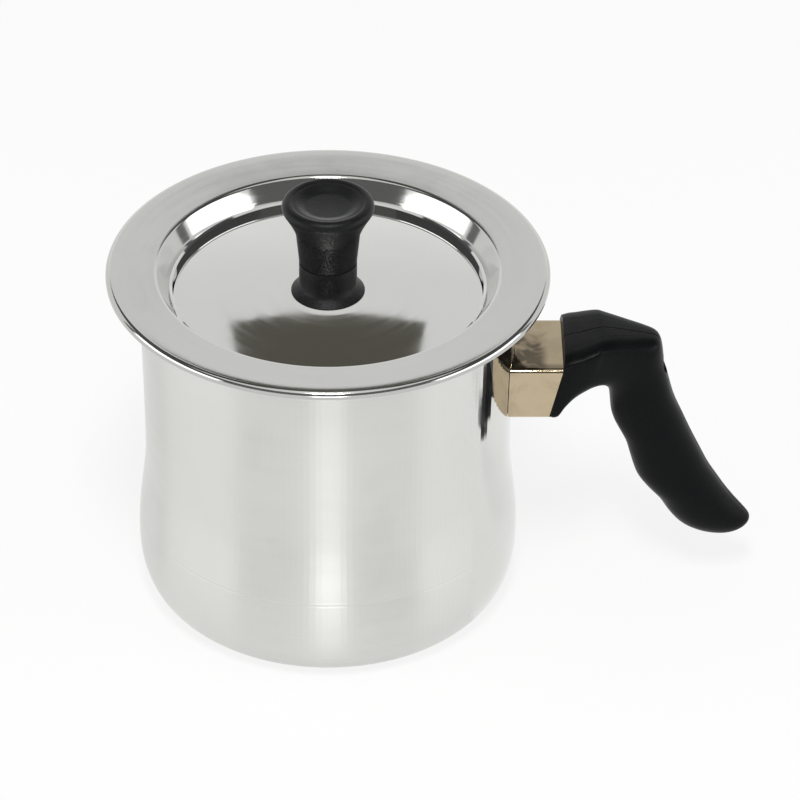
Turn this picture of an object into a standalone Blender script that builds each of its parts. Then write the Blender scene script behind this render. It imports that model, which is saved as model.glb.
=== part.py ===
"""Double-walled milk boiler with a dished lid, a steel filler duct and a moulded pistol grip.

Units are metres, +Z is up. The origin is on the pot's axis, on the surface that it stands on.
The grip is on the +X side. Every piece is a solid of its own, and the pieces that move have
their origin on the axis of their motion.
"""
import bpy
import bmesh
import math
from mathutils import Matrix, Vector

# Fits shared by all pieces
seat_gap = 0.0003
overrun = 0.004
weld_distance = 0.00001
round_steps = 48
small_round_steps = 22
knob_round_steps = 32

# Outer shell, a spun steel jacket
pot_height = 0.161
shoulder_radius = 0.0807
waist_draw = 0.0012
waist_height = 0.073
belly_swell = 0.0023
belly_height = 0.028
base_draw = 0.0147
outer_wall = 0.001
collar_width = 0.005
collar_bend_radius = 0.0015
corner_squareness = 2.4
corner_steps = 7

# Inner pot, with the wide rim that carries it
inner_wall = 0.001
rim_overhang = 0.0143
rim_lip_height = 0.0031
rim_bend_radius = 0.0024
rim_dish = 0.0009
mouth_spread = 0.0056
mouth_bend_radius = 0.0022
water_gap = 0.0096
neck_depth = 0.0105
jacket_floor_gap = 0.012
pot_corner_radius = 0.018

# Lid, a pressed dish that hangs in the conical mouth
lid_edge_depth = 0.0089
lid_wall_clearance = 0.0007
lid_sheet = 0.0008
lid_flare_height = 0.0019
lid_floor_depth = 0.0149
lid_crown = 0.0024
lid_corner_radius = 0.0012
lid_seat_margin = 0.0012
lid_floor_steps = 4

# Knob, in two mouldings on one screw
knob_foot_radius = 0.0158
knob_foot_edge = 0.0006
knob_foot_height = 0.0158
knob_flare_height = 0.004
knob_stem_radius = 0.0124
knob_throat_radius = 0.0137
knob_head_radius = 0.0197
knob_height = 0.0456
knob_lip_radius = 0.0029
knob_dish_radius = 0.0098
knob_dish_depth = 0.0026
knob_neck_length = 0.0135
knob_flare_steps = 5
knob_flare_power = 1.3
knob_throat_power = 1.3
screw_radius = 0.0025
screw_clearance = 0.0003
screw_head_radius = 0.0045
screw_head_height = 0.0032
screw_slot_width = 0.0012
screw_slot_depth = 0.0014
screw_end_radius = 0.0008
screw_reach = 0.009
washer_radius = 0.0065
washer_thickness = 0.001
insert_radius = 0.0042
insert_length = 0.011
insert_groove_depth = 0.0006
insert_level_shares = (1.0, 0.62, 0.56, 0.44, 0.38, 0.0)

# Filler duct, a steel box between the jacket and the grip
duct_drop = 0.05285
duct_width = 0.0405
duct_height = 0.0253
duct_wall = 0.0012
duct_edge_radius = 0.0025
duct_reach = 0.0156
duct_port_margin = 0.003
end_plate_thickness = 0.002
boss_radius = 0.0065
boss_length = 0.0085
gasket_thickness = 0.0008
bolt_rise = 0.0028
boss_chamfer = 0.0005

# Hollow bolt that clamps the grip, with its washer
bolt_radius = 0.0032
bolt_bore_radius = 0.0021
bolt_clearance = 0.0003
bolt_head_radius = 0.0038
bolt_head_height = 0.0022
bolt_slot_width = 0.001
bolt_slot_depth = 0.0009
bolt_washer_thickness = 0.0008
bolt_washer_inset = 0.0002

# Whistle, a push-in plug at the rear of the grip
whistle_well_radius = 0.0043
whistle_length = 0.0072
whistle_bore_radius = 0.0021
whistle_body_radius = 0.0029
whistle_sleeve_length = 0.005
whistle_collar_height = 0.0009
whistle_disc_thickness = 0.0006
whistle_hole_radius = 0.0007
whistle_disc_inset = 0.0003
whistle_recess = 0.0018

# Grip, one moulding lofted from the duct to its tip
grip_margin = 0.0003
grip_roof = 0.0062
grip_reach = 0.0897
grip_drop = 0.07285
grip_crown = 0.0015
grip_ring_points = 24
grip_steps_per_station = 2
rear_line_steps = 40

# Colours, roughness and metal of the finishes
polished_steel = ((0.62, 0.61, 0.60), 0.12, 1.0)
mirror_steel = ((0.56, 0.50, 0.42), 0.08, 1.0)
plain_steel = ((0.45, 0.45, 0.46), 0.35, 1.0)
brass = ((0.62, 0.44, 0.16), 0.3, 1.0)
phenolic = ((0.012, 0.012, 0.014), 0.34, 0.0)
seal_rubber = ((0.02, 0.02, 0.02), 0.8, 0.0)


def rim_level(radius):
    """Height of the rim's top, which falls a little from its edge to the mouth."""
    return pot_height - rim_dish * (rim_flat_radius - radius) / (rim_flat_radius - mouth_radius)


# Places worked out from the sizes
waist_radius = shoulder_radius - waist_draw
belly_radius = shoulder_radius + belly_swell
base_radius = shoulder_radius - base_draw
rim_radius = shoulder_radius + rim_overhang
neck_radius = waist_radius - outer_wall - water_gap - inner_wall
mouth_radius = neck_radius + mouth_spread
rim_flat_radius = rim_radius - rim_bend_radius
collar_level = rim_level(shoulder_radius) - inner_wall - seat_gap - outer_wall
inner_floor = outer_wall + jacket_floor_gap + inner_wall
duct_centre = pot_height - duct_drop
duct_top = duct_centre + duct_height / 2
duct_bottom = duct_centre - duct_height / 2
bolt_axis = duct_centre + bolt_rise
grip_half_width = duct_width / 2 + grip_margin
lip_x = shoulder_radius + duct_reach
lip_bottom = duct_bottom - grip_margin
head_height = duct_top + grip_roof - lip_bottom
duct_inset = -gasket_thickness - 2 * seat_gap
lid_floor = pot_height - lid_floor_depth
lid_seat = lid_floor + lid_crown
knob_seam = lid_seat + seat_gap + knob_foot_height
knob_top_height = lid_seat + seat_gap + knob_height


def clear_scene():
    """Remove what the file starts with."""
    for thing in list(bpy.data.objects):
        bpy.data.objects.remove(thing, do_unlink=True)


def new_collection(name):
    group = bpy.data.collections.new(name)
    bpy.context.scene.collection.children.link(group)
    return group


def finish_material(name, finish):
    """A Principled material with the finish's colour, roughness and metal."""
    colour, roughness, metal = finish
    made = bpy.data.materials.new(name)
    made.use_nodes = True
    shader = made.node_tree.nodes["Principled BSDF"]
    shader.inputs["Base Color"].default_value = (*colour, 1.0)
    shader.inputs["Roughness"].default_value = roughness
    shader.inputs["Metallic"].default_value = metal
    return made


def place(thing, group, finish, body=None):
    """Link an object, give it its own material and hang it on its body's empty."""
    group.objects.link(thing)
    thing.data.materials.clear()
    thing.data.materials.append(finish_material(thing.name + "_finish", finish))
    if body is not None:
        thing.parent = body
        thing.location = Vector(thing.location) - Vector(body.location)
    return thing


def body_empty(name, group, where):
    """An empty on the axis of a moving body."""
    empty = bpy.data.objects.new(name, None)
    empty.location = where
    group.objects.link(empty)
    return empty


def arc(centre, radius, start, end, steps):
    """Points of an arc in the (radius, height) plane, angles in degrees."""
    points = []
    for k in range(steps + 1):
        angle = math.radians(start + (end - start) * k / steps)
        points.append((centre[0] + radius * math.cos(angle), centre[1] + radius * math.sin(angle)))
    return points


def ease(start, end, steps):
    """Points between two places of an outline, upright at both ends."""
    points = []
    for k in range(1, steps + 1):
        share = k / steps
        swing = (1 - math.cos(math.pi * share)) / 2
        points.append((start[0] + (end[0] - start[0]) * swing, start[1] + (end[1] - start[1]) * share))
    return points


def smooth(mesh, angle=math.radians(35)):
    mesh.shade_smooth()
    mesh.set_sharp_from_angle(angle=angle)


def profile_object(name, points, closed, steps, axis="Z"):
    """A turned shape: an outline in (radius, height) with a Screw modifier about an axis."""
    mesh = bpy.data.meshes.new(name)
    verts = [(r, 0.0, h) for r, h in points]
    edges = [(k, k + 1) for k in range(len(points) - 1)]
    if closed:
        edges.append((len(points) - 1, 0))
    mesh.from_pydata(verts, edges, [])
    turned = bpy.data.objects.new(name, mesh)
    screw = turned.modifiers.new("turn", "SCREW")
    screw.axis = "Z"
    screw.angle = 2 * math.pi
    screw.steps = steps
    screw.render_steps = steps
    screw.use_merge_vertices = True
    screw.merge_threshold = weld_distance
    screw.use_smooth_shade = True
    if axis == "X":
        turned.rotation_euler = (0.0, math.pi / 2, 0.0)
    return turned


def add_sheet(thing, thickness):
    """Thickness on the hidden side of an open surface."""
    sheet = thing.modifiers.new("sheet", "SOLIDIFY")
    sheet.thickness = thickness
    sheet.offset = -1.0
    sheet.use_even_offset = True
    return thing


def cut(thing, cutter):
    """Take a cutter out of a piece."""
    boolean = thing.modifiers.new("cut_" + cutter.name, "BOOLEAN")
    boolean.operation = "DIFFERENCE"
    boolean.solver = "EXACT"
    boolean.object = cutter
    return thing


def as_cutter(thing, cutters):
    cutters.objects.link(thing)
    thing.hide_render = True
    thing.display_type = "WIRE"
    return thing


def box_cutter(name, low, high, cutters):
    """A box between two corners."""
    mesh = bpy.data.meshes.new(name)
    shape = bmesh.new()
    size = [b - a for a, b in zip(low, high)]
    middle = [(a + b) / 2 for a, b in zip(low, high)]
    bmesh.ops.create_cube(shape, size=1.0, matrix=Matrix.Translation(middle) @ Matrix.Diagonal((*size, 1.0)))
    shape.to_mesh(mesh)
    shape.free()
    return as_cutter(bpy.data.objects.new(name, mesh), cutters)


def rod_cutter(name, radius, start, end, cutters):
    """A round rod along +X at the bolt's height."""
    rod = profile_object(name, [(0.0, end), (radius, end), (radius, start), (0.0, start)], False,
                         small_round_steps, "X")
    rod.location = (0.0, 0.0, bolt_axis)
    return as_cutter(rod, cutters)


def jacket_outline(grow=0.0):
    """The jacket's outside from under the collar down to its centre, grown by a clearance."""
    side = [(shoulder_radius, collar_level - collar_bend_radius)]
    side += ease(side[0], (waist_radius, waist_height), 3)
    side += ease(side[-1], (belly_radius, belly_height), 4)
    power = 2 / corner_squareness
    for k in range(1, corner_steps):
        angle = math.radians(90 * k / corner_steps)
        side.append((base_radius + (belly_radius - base_radius) * math.cos(angle) ** power,
                     belly_height * (1 - math.sin(angle) ** power)))
    side.append((base_radius, 0.0))
    return [(radius + grow, height) for radius, height in side]


def make_outer_shell(parts, cutters):
    """The jacket: a collar under the rim, a waisted wall, a rounded corner and a flat base."""
    bend_centre = (shoulder_radius + collar_bend_radius, collar_level - collar_bend_radius)
    collar = [(shoulder_radius + collar_width, collar_level)]
    collar += arc(bend_centre, collar_bend_radius, 90, 180, 2)
    outline = collar + jacket_outline()[1:] + [(0.0, 0.0)]
    shell = add_sheet(profile_object("outer_shell", outline, False, round_steps), outer_wall)
    inset = duct_wall + duct_port_margin
    port = box_cutter("duct_port_cutter",
                      (waist_radius / 2, inset - duct_width / 2, duct_bottom + inset),
                      (lip_x, duct_width / 2 - inset, duct_top - inset), cutters)
    cut(shell, port)
    smooth(shell.data)
    return place(shell, parts, polished_steel)


def cone_radius(depth):
    """Inside radius of the conical mouth at a depth below the rim's edge."""
    return mouth_radius + (neck_radius - mouth_radius) * (depth - rim_dish) / (neck_depth - rim_dish)


def make_inner_pot(parts):
    """The milk vessel, its conical mouth, its wide flat rim and the lip turned down round it."""
    corner = (neck_radius - pot_corner_radius, inner_floor + pot_corner_radius)
    outline = [(0.0, inner_floor)] + arc(corner, pot_corner_radius, -90, 0, 5)
    outline.append((neck_radius, pot_height - neck_depth))
    slope = math.degrees(math.atan2(neck_depth - rim_dish, mouth_radius - neck_radius))
    reach = mouth_bend_radius * math.tan(math.radians(slope / 2))
    bend = (mouth_radius + reach, rim_level(mouth_radius) - mouth_bend_radius)
    outline += arc(bend, mouth_bend_radius, 90 + slope, 90, 4)
    edge = (rim_flat_radius, pot_height - rim_bend_radius)
    outline += arc(edge, rim_bend_radius, 90, 0, 4)
    outline.append((rim_radius, pot_height - rim_lip_height))
    pot = add_sheet(profile_object("inner_pot", outline, False, round_steps), inner_wall)
    smooth(pot.data)
    return place(pot, parts, polished_steel)


def duct_outline(inset, radius):
    """A rounded rectangle in (across, up) about the duct's centre."""
    half_w = duct_width / 2 - inset - radius
    half_h = duct_height / 2 - inset - radius
    points = []
    for across, up, start in ((half_w, half_h, 0), (-half_w, half_h, 90),
                              (-half_w, -half_h, 180), (half_w, -half_h, 270)):
        points += arc((across, up), radius, start, start + 90, 4)
    return points


def face_x(height, behind=0.0):
    """X of the grip's leaning front face at a height, or of a plane behind that face."""
    top_x, top_z = grip_point(*upper_line_shares[0])
    return lip_x + (top_x - lip_x) * (height - lip_bottom) / (top_z - lip_bottom) + behind


def duct_skin(name, inset, radius, start, end):
    """An open tube with the duct's outline. Its ends are given as X at each height."""
    mesh = bpy.data.meshes.new(name)
    shape = bmesh.new()
    ring = [shape.verts.new((start(duct_centre + z), y, duct_centre + z))
            for y, z in duct_outline(inset, radius)]
    edges = [shape.edges.new((ring[k], ring[(k + 1) % len(ring)])) for k in range(len(ring))]
    drawn = bmesh.ops.extrude_edge_only(shape, edges=edges)
    for vert in drawn["geom"]:
        if isinstance(vert, bmesh.types.BMVert):
            vert.co.x = end(vert.co.z)
    return mesh, shape


def make_duct_box(parts, cutters):
    """A box section whose inner end follows the jacket and whose outer end leans with the grip."""
    mesh, shape = duct_skin("filler_duct", 0.0, duct_edge_radius, lambda z: waist_radius / 2,
                            lambda z: face_x(z, duct_inset))
    bmesh.ops.recalc_face_normals(shape, faces=shape.faces)
    away = [face.normal.dot(Vector((0.0, face.calc_center_median().y,
                                    face.calc_center_median().z - duct_centre))) for face in shape.faces]
    if sum(away) < 0:
        bmesh.ops.reverse_faces(shape, faces=shape.faces)
    shape.to_mesh(mesh)
    shape.free()
    duct = add_sheet(bpy.data.objects.new("filler_duct", mesh), duct_wall)
    outline = jacket_outline(seat_gap)
    body = [(0.0, pot_height)] + [(outline[0][0], pot_height)] + outline + [(0.0, 0.0)]
    pot_cutter = as_cutter(profile_object("jacket_cutter", body, False, 2 * round_steps), cutters)
    cut(duct, pot_cutter)
    smooth(duct.data)
    return place(duct, parts, mirror_steel)


def duct_plate(name, inset, radius, behind, thickness, cutters):
    """A leaning plate with the duct's outline, with a round hole for the hollow bolt."""
    mesh, shape = duct_skin(name, inset, radius, lambda z: face_x(z, behind),
                            lambda z: face_x(z, behind + thickness))
    bmesh.ops.holes_fill(shape, edges=[edge for edge in shape.edges if edge.is_boundary])
    bmesh.ops.recalc_face_normals(shape, faces=shape.faces)
    shape.to_mesh(mesh)
    shape.free()
    plate = bpy.data.objects.new(name, mesh)
    hole = rod_cutter(name + "_hole", bolt_radius + bolt_clearance, lip_x - duct_height,
                      lip_x + duct_height, cutters)
    return cut(plate, hole)


def make_duct_end(parts, cutters):
    """The plate welded in the duct's outer end, and the gasket between it and the grip."""
    plate = duct_plate("duct_end_plate", duct_wall + seat_gap, duct_edge_radius - duct_wall,
                       duct_inset - end_plate_thickness, end_plate_thickness, cutters)
    place(plate, parts, plain_steel)
    gasket = duct_plate("duct_gasket", 0.0, duct_edge_radius, duct_inset + seat_gap, gasket_thickness, cutters)
    place(gasket, parts, seal_rubber)


def leaning_cutter(name, start, end, half_width, bottom, top, cutters):
    """A box whose two faces across X lean as the grip's front face does."""
    mesh = bpy.data.meshes.new(name)
    shape = bmesh.new()
    size = (end - start, 2 * half_width, top - bottom)
    middle = ((start + end) / 2, 0.0, (bottom + top) / 2)
    bmesh.ops.create_cube(shape, size=1.0, matrix=Matrix.Translation(middle) @ Matrix.Diagonal((*size, 1.0)))
    for vert in shape.verts:
        vert.co.x = face_x(vert.co.z, vert.co.x)
    shape.to_mesh(mesh)
    shape.free()
    return as_cutter(bpy.data.objects.new(name, mesh), cutters)


def turned_along_x(name, points, closed, steps, x):
    """A turned shape whose axis is the bolt's, with its zero at a given X."""
    turned = profile_object(name, points, closed, steps, "X")
    turned.location = (x, 0.0, bolt_axis)
    smooth(turned.data)
    return turned


def boss_start():
    return face_x(bolt_axis, duct_inset - end_plate_thickness - seat_gap - boss_length)


def make_boss(parts, cutters):
    """The threaded boss on the inside of the end plate, its outer end leaning with the plate."""
    bore = bolt_radius + bolt_clearance
    length = boss_length + boss_radius
    points = [(bore, length), (boss_radius, length), (boss_radius, boss_chamfer),
              (boss_radius - boss_chamfer, 0.0), (bore, 0.0)]
    boss = turned_along_x("duct_boss", points, True, small_round_steps, boss_start())
    trim = leaning_cutter("boss_trim_cutter", duct_inset - end_plate_thickness - seat_gap, duct_height,
                          boss_radius + overrun, bolt_axis - duct_height, bolt_axis + duct_height, cutters)
    return place(cut(boss, trim), parts, plain_steel)


def rear_of_grip(height):
    """X of the grip's rear line at a height."""
    stations = len(upper_line_shares) - 1
    steps = rear_line_steps * stations
    line = [grip_point(*pair) for pair in upper_line_shares]
    before = line[0]
    for k in range(1, steps + 1):
        at = stations * k / steps
        spot = [through([p[axis] for p in line], at) for axis in (0, 1)]
        if before[1] > height >= spot[1]:
            share = (before[1] - height) / (before[1] - spot[1])
            return before[0] + (spot[0] - before[0]) * share
        before = spot
    return before[0]


def well_shoulder():
    """X of the shoulder in the grip that the bolt's washer bears on."""
    stack = bolt_washer_thickness + bolt_head_height + whistle_length + 3 * seat_gap
    return rear_of_grip(bolt_axis) - whistle_recess - stack


def make_bolt(parts, cutters):
    """The hollow bolt, its slotted head and the washer under it."""
    washer_start = well_shoulder() + seat_gap
    head_start = washer_start + bolt_washer_thickness + seat_gap
    head_end = head_start + bolt_head_height
    tip = boss_start()
    points = [(bolt_bore_radius, head_end), (bolt_head_radius, head_end), (bolt_head_radius, head_start),
              (bolt_radius, head_start), (bolt_radius, tip), (bolt_bore_radius, tip)]
    shifted = [(r, x - tip) for r, x in points]
    bolt = turned_along_x("hollow_bolt", shifted, True, small_round_steps, tip)
    slot = box_cutter("bolt_slot_cutter",
                      (head_end - bolt_slot_depth, -bolt_head_radius - overrun, bolt_axis - bolt_slot_width / 2),
                      (head_end + overrun, bolt_head_radius + overrun, bolt_axis + bolt_slot_width / 2), cutters)
    cut(bolt, slot)
    place(bolt, parts, brass)
    outer = whistle_well_radius - seat_gap - bolt_washer_inset
    inner = bolt_radius + bolt_clearance
    ring = [(inner, bolt_washer_thickness), (outer, bolt_washer_thickness), (outer, 0.0), (inner, 0.0)]
    place(turned_along_x("bolt_washer", ring, True, small_round_steps, washer_start), parts, plain_steel)


# Places along the grip. Each station pairs a point of the upper and rear line with a point of
# the lower and front line. Along X they are shares of grip_reach, and upwards shares of
# head_height above the lip and of grip_drop below it.
upper_line_shares = (
    (0.080, 0.953), (0.103, 0.994), (0.134, 1.025), (0.177, 1.060), (0.230, 1.100), (0.257, 1.105),
    (0.320, 1.077), (0.387, 1.035), (0.454, 0.997), (0.512, 0.946), (0.534, 0.827), (0.546, 0.585),
    (0.573, 0.266), (0.603, -0.017), (0.648, -0.149), (0.695, -0.283), (0.741, -0.403), (0.788, -0.524),
    (0.840, -0.628), (0.888, -0.720), (0.936, -0.798), (0.978, -0.858), (1.002, -0.904),
    (0.985, -0.951), (0.927, -0.986))
lower_line_shares = (
    (0.000, 0.000), (0.036, 0.009), (0.067, 0.107), (0.107, 0.208), (0.159, 0.285), (0.208, 0.313),
    (0.247, 0.292), (0.271, 0.227), (0.283, 0.122), (0.288, 0.011), (0.292, -0.043), (0.298, -0.105),
    (0.315, -0.173), (0.343, -0.242), (0.374, -0.320), (0.394, -0.405), (0.413, -0.487),
    (0.438, -0.569), (0.489, -0.654), (0.545, -0.732), (0.592, -0.827), (0.653, -0.918),
    (0.732, -0.975), (0.805, -0.997), (0.844, -1.000))
half_width_shares = (
    1.000, 0.998, 0.978, 0.939, 0.876, 0.798, 0.695, 0.623, 0.569, 0.535, 0.520, 0.520, 0.535, 0.555,
    0.574, 0.580, 0.580, 0.575, 0.566, 0.546, 0.517, 0.470, 0.393, 0.287, 0.163)
upper_squareness_shares = (
    1.00, 1.00, 1.00, 1.00, 0.95, 0.88, 0.74, 0.58, 0.48, 0.42, 0.38, 0.35, 0.33, 0.32, 0.32, 0.32,
    0.32, 0.32, 0.32, 0.32, 0.32, 0.31, 0.30, 0.30, 0.30)
lower_squareness_shares = (
    2.00, 1.80, 1.20, 0.70, 0.52, 0.45, 0.42, 0.40, 0.38, 0.36, 0.34, 0.33, 0.32, 0.32, 0.32, 0.32,
    0.32, 0.32, 0.32, 0.32, 0.32, 0.31, 0.30, 0.30, 0.30)
grip_squareness = 7.0


def grip_point(along, up):
    """X and Z of a place on the grip's centre plane."""
    height = head_height if up > 0 else grip_drop
    return lip_x + along * grip_reach, lip_bottom + up * height


def through(values, at):
    """A smooth curve through evenly spaced values."""
    last = len(values) - 1
    left = min(int(at), last - 1)
    share = at - left
    before = values[max(left - 1, 0)]
    start = values[left]
    end = values[left + 1]
    after = values[min(left + 2, last)]
    rise = (end - before) / 2
    fall = (after - start) / 2
    square = share * share
    cube = square * share
    return ((2 * cube - 3 * square + 1) * start + (cube - 2 * square + share) * rise
            + (3 * square - 2 * cube) * end + (cube - square) * fall)


def grip_ring(at):
    """One cross-section of the grip, boxed at the duct and oval in the hand."""
    upper = [grip_point(*pair) for pair in upper_line_shares]
    lower = [grip_point(*pair) for pair in lower_line_shares]
    top = Vector([through([p[axis] for p in upper], at) for axis in (0, 1)])
    bottom = Vector([through([p[axis] for p in lower], at) for axis in (0, 1)])
    width = through(half_width_shares, at) * grip_half_width
    upper_square = through(upper_squareness_shares, at)
    lower_square = through(lower_squareness_shares, at)
    middle = (top + bottom) / 2
    half = (top - bottom) / 2
    points = []
    for k in range(grip_ring_points):
        angle = 2 * math.pi * (k + 0.5) / grip_ring_points
        square = upper_square if math.sin(angle) > 0 else lower_square
        power = 2 / (grip_squareness * square)
        across = math.copysign(abs(math.cos(angle)) ** power, math.cos(angle))
        up = math.copysign(abs(math.sin(angle)) ** power, math.sin(angle))
        sunk = grip_crown * square * across * across * max(up, 0.0)
        spot = middle + half * up - half.normalized() * sunk
        points.append((spot.x, across * width, spot.y))
    return points


def loft(name, rings):
    """A closed skin through rings of equal count, with a fan of faces at each end."""
    mesh = bpy.data.meshes.new(name)
    shape = bmesh.new()
    rows = [[shape.verts.new(point) for point in ring] for ring in rings]
    count = len(rows[0])
    for lower, upper in zip(rows, rows[1:]):
        for k in range(count):
            after = (k + 1) % count
            shape.faces.new((lower[k], lower[after], upper[after], upper[k]))
    for row in (rows[0], rows[-1]):
        middle = shape.verts.new(sum((v.co for v in row), Vector()) / count)
        for k in range(count):
            shape.faces.new((row[k], row[(k + 1) % count], middle))
    bmesh.ops.recalc_face_normals(shape, faces=shape.faces)
    shape.to_mesh(mesh)
    shape.free()
    return bpy.data.objects.new(name, mesh)


def make_grip(parts, cutters):
    """The moulded pistol grip, with the stepped bore for the bolt and the whistle."""
    stations = len(upper_line_shares) - 1
    steps = stations * grip_steps_per_station
    rings = [grip_ring(stations * k / steps) for k in range(steps + 1)]
    grip = loft("handle_grip", rings)
    bore = rod_cutter("grip_bore_cutter", bolt_radius + bolt_clearance, lip_x - overrun,
                      well_shoulder() + overrun, cutters)
    well = rod_cutter("grip_well_cutter", whistle_well_radius, well_shoulder(),
                      rear_of_grip(bolt_axis) + overrun, cutters)
    cut(cut(grip, bore), well)
    smooth(grip.data)
    return place(grip, parts, phenolic)


def make_whistle(parts, body):
    """The push-in whistle: a turned body, its gripping sleeve and a pierced disc."""
    front = well_shoulder() + 3 * seat_gap + bolt_washer_thickness + bolt_head_height
    collar = whistle_well_radius - seat_gap
    length = whistle_length
    points = [(whistle_bore_radius, length), (collar, length), (collar, length - whistle_collar_height),
              (whistle_body_radius, length - whistle_collar_height), (whistle_body_radius, 0.0),
              (whistle_bore_radius, 0.0)]
    place(turned_along_x("whistle_body", points, True, small_round_steps, front), parts, brass, body)
    sleeve_inner = whistle_body_radius + seat_gap
    start = length - whistle_collar_height - seat_gap - whistle_sleeve_length
    end = start + whistle_sleeve_length
    sleeve = [(sleeve_inner, end), (collar, end), (collar, start), (sleeve_inner, start)]
    place(turned_along_x("whistle_sleeve", sleeve, True, small_round_steps, front), parts, seal_rubber, body)
    disc_radius = whistle_bore_radius - seat_gap
    disc_end = length - whistle_disc_inset
    disc_start = disc_end - whistle_disc_thickness
    disc = [(whistle_hole_radius, disc_end), (disc_radius, disc_end), (disc_radius, disc_start),
            (whistle_hole_radius, disc_start)]
    place(turned_along_x("whistle_disc", disc, True, small_round_steps, front), parts, brass, body)


def make_lid_disc(parts, body):
    """The pressed lid: a flat seat for the knob, a slightly domed floor, a wall and a flared edge."""
    wall = neck_radius - lid_wall_clearance - lid_sheet
    edge_height = pot_height - lid_edge_depth
    edge = cone_radius(lid_edge_depth) - lid_sheet - seat_gap * 2
    hole = screw_radius + screw_clearance
    seat = knob_foot_radius + lid_seat_margin
    rim = wall - lid_corner_radius
    outline = [(hole, lid_seat), (seat, lid_seat)]
    for k in range(1, lid_floor_steps + 1):
        radius = seat + (rim - seat) * k / lid_floor_steps
        fall = (radius * radius - seat * seat) / (rim * rim - seat * seat)
        outline.append((radius, lid_seat - lid_crown * fall))
    outline += arc((rim, lid_floor + lid_corner_radius), lid_corner_radius, -90, 0, 2)[1:]
    outline.append((wall, edge_height - lid_flare_height))
    outline.append((edge, edge_height))
    lid = add_sheet(profile_object("lid_disc", outline, False, round_steps), lid_sheet)
    smooth(lid.data)
    return place(lid, parts, polished_steel, body)


def make_knob(parts, body):
    """The knob's flared foot and its dished head, bored for the screw."""
    foot_bottom = lid_seat + seat_gap
    bore = screw_radius + screw_clearance
    top = knob_seam - seat_gap
    foot = [(bore, top), (knob_stem_radius, top), (knob_stem_radius, foot_bottom + knob_flare_height)]
    run = knob_foot_radius - knob_stem_radius
    rise = knob_flare_height - knob_foot_edge
    for k in range(1, knob_flare_steps + 1):
        share = k / knob_flare_steps
        foot.append((knob_stem_radius + run * share ** knob_flare_power,
                     foot_bottom + knob_flare_height - rise * share))
    foot += [(knob_foot_radius, foot_bottom), (bore, foot_bottom)]
    base = profile_object("knob_foot", foot, True, knob_round_steps)
    smooth(base.data)
    place(base, parts, phenolic, body)
    make_knob_head(parts, body)


def make_knob_head(parts, body):
    """The mushroom head: a dished top, a rolled lip and a throat that widens upwards."""
    pocket = insert_radius + seat_gap
    pocket_top = knob_seam + insert_length + seat_gap
    lip_centre = (knob_head_radius - knob_lip_radius, knob_top_height - knob_lip_radius)
    dish_floor = knob_top_height - knob_dish_depth
    head = [(0.0, dish_floor), (knob_dish_radius, dish_floor)]
    head += arc(lip_centre, knob_lip_radius, 125, -30, 7)
    neck_top = knob_seam + knob_neck_length
    start = head[-1]
    for k in range(1, 6):
        share = k / 5
        swing = (1 - share) ** knob_throat_power
        head.append((knob_throat_radius + (start[0] - knob_throat_radius) * swing,
                     start[1] + (neck_top - start[1]) * share))
    head.append((knob_stem_radius, knob_seam))
    head += [(pocket, knob_seam), (pocket, pocket_top), (0.0, pocket_top)]
    top = profile_object("knob_head", head, False, knob_round_steps)
    smooth(top.data)
    return place(top, parts, phenolic, body)


def make_knob_fixings(parts, cutters, body):
    """The brass insert in the head, the screw up through the foot and the washer under the lid."""
    bore = screw_radius + screw_clearance
    groove = insert_radius - insert_groove_depth
    levels = [knob_seam + insert_length * share for share in insert_level_shares]
    ring = [(bore, levels[0]), (insert_radius, levels[0]), (insert_radius, levels[1]), (groove, levels[2]),
            (groove, levels[3]), (insert_radius, levels[4]), (insert_radius, levels[5]), (bore, levels[5])]
    insert = profile_object("knob_insert", ring, True, small_round_steps)
    smooth(insert.data)
    place(insert, parts, brass, body)
    washer_top = lid_seat - lid_sheet - seat_gap
    washer_bottom = washer_top - washer_thickness
    washer = profile_object("lid_washer", [(bore, washer_top), (washer_radius, washer_top),
                                           (washer_radius, washer_bottom), (bore, washer_bottom)],
                            True, small_round_steps)
    smooth(washer.data)
    place(washer, parts, plain_steel, body)
    head_top = washer_bottom - seat_gap
    head_bottom = head_top - screw_head_height
    tip = knob_seam + screw_reach
    outline = [(0.0, tip), (screw_radius - screw_end_radius, tip), (screw_radius, tip - screw_end_radius),
               (screw_radius, head_top), (screw_head_radius, head_top),
               (screw_head_radius, head_bottom + screw_end_radius),
               (screw_head_radius - screw_end_radius, head_bottom), (0.0, head_bottom)]
    screw = profile_object("knob_screw", outline, False, small_round_steps)
    reach = screw_head_radius + overrun
    slot = box_cutter("screw_slot_cutter", (-reach, -screw_slot_width / 2, head_bottom - overrun),
                      (reach, screw_slot_width / 2, head_bottom + screw_slot_depth), cutters)
    cut(screw, slot)
    smooth(screw.data)
    place(screw, parts, plain_steel, body)


def build():
    clear_scene()
    parts = new_collection("milk_boiler")
    cutters = new_collection("cutters")
    make_outer_shell(parts, cutters)
    make_inner_pot(parts)
    make_duct_box(parts, cutters)
    make_duct_end(parts, cutters)
    make_boss(parts, cutters)
    make_bolt(parts, cutters)
    make_grip(parts, cutters)
    whistle = body_empty("whistle_axis", parts, (well_shoulder(), 0.0, bolt_axis))
    make_whistle(parts, whistle)
    lid = body_empty("lid_axis", parts, (0.0, 0.0, lid_seat))
    make_lid_disc(parts, lid)
    make_knob(parts, lid)
    make_knob_fixings(parts, cutters, lid)


build()
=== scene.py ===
"""Looks of the double-walled milk boiler: fine pieces, finishes, studio and camera.

The file follows the pot as it is put together: jacket, vessel, duct, grip, bolt, whistle, lid
and knob. Lengths are metres, +Z is up, and the grip is on the +X side.
"""

import math

import bpy
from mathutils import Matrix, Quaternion, Vector


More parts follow.
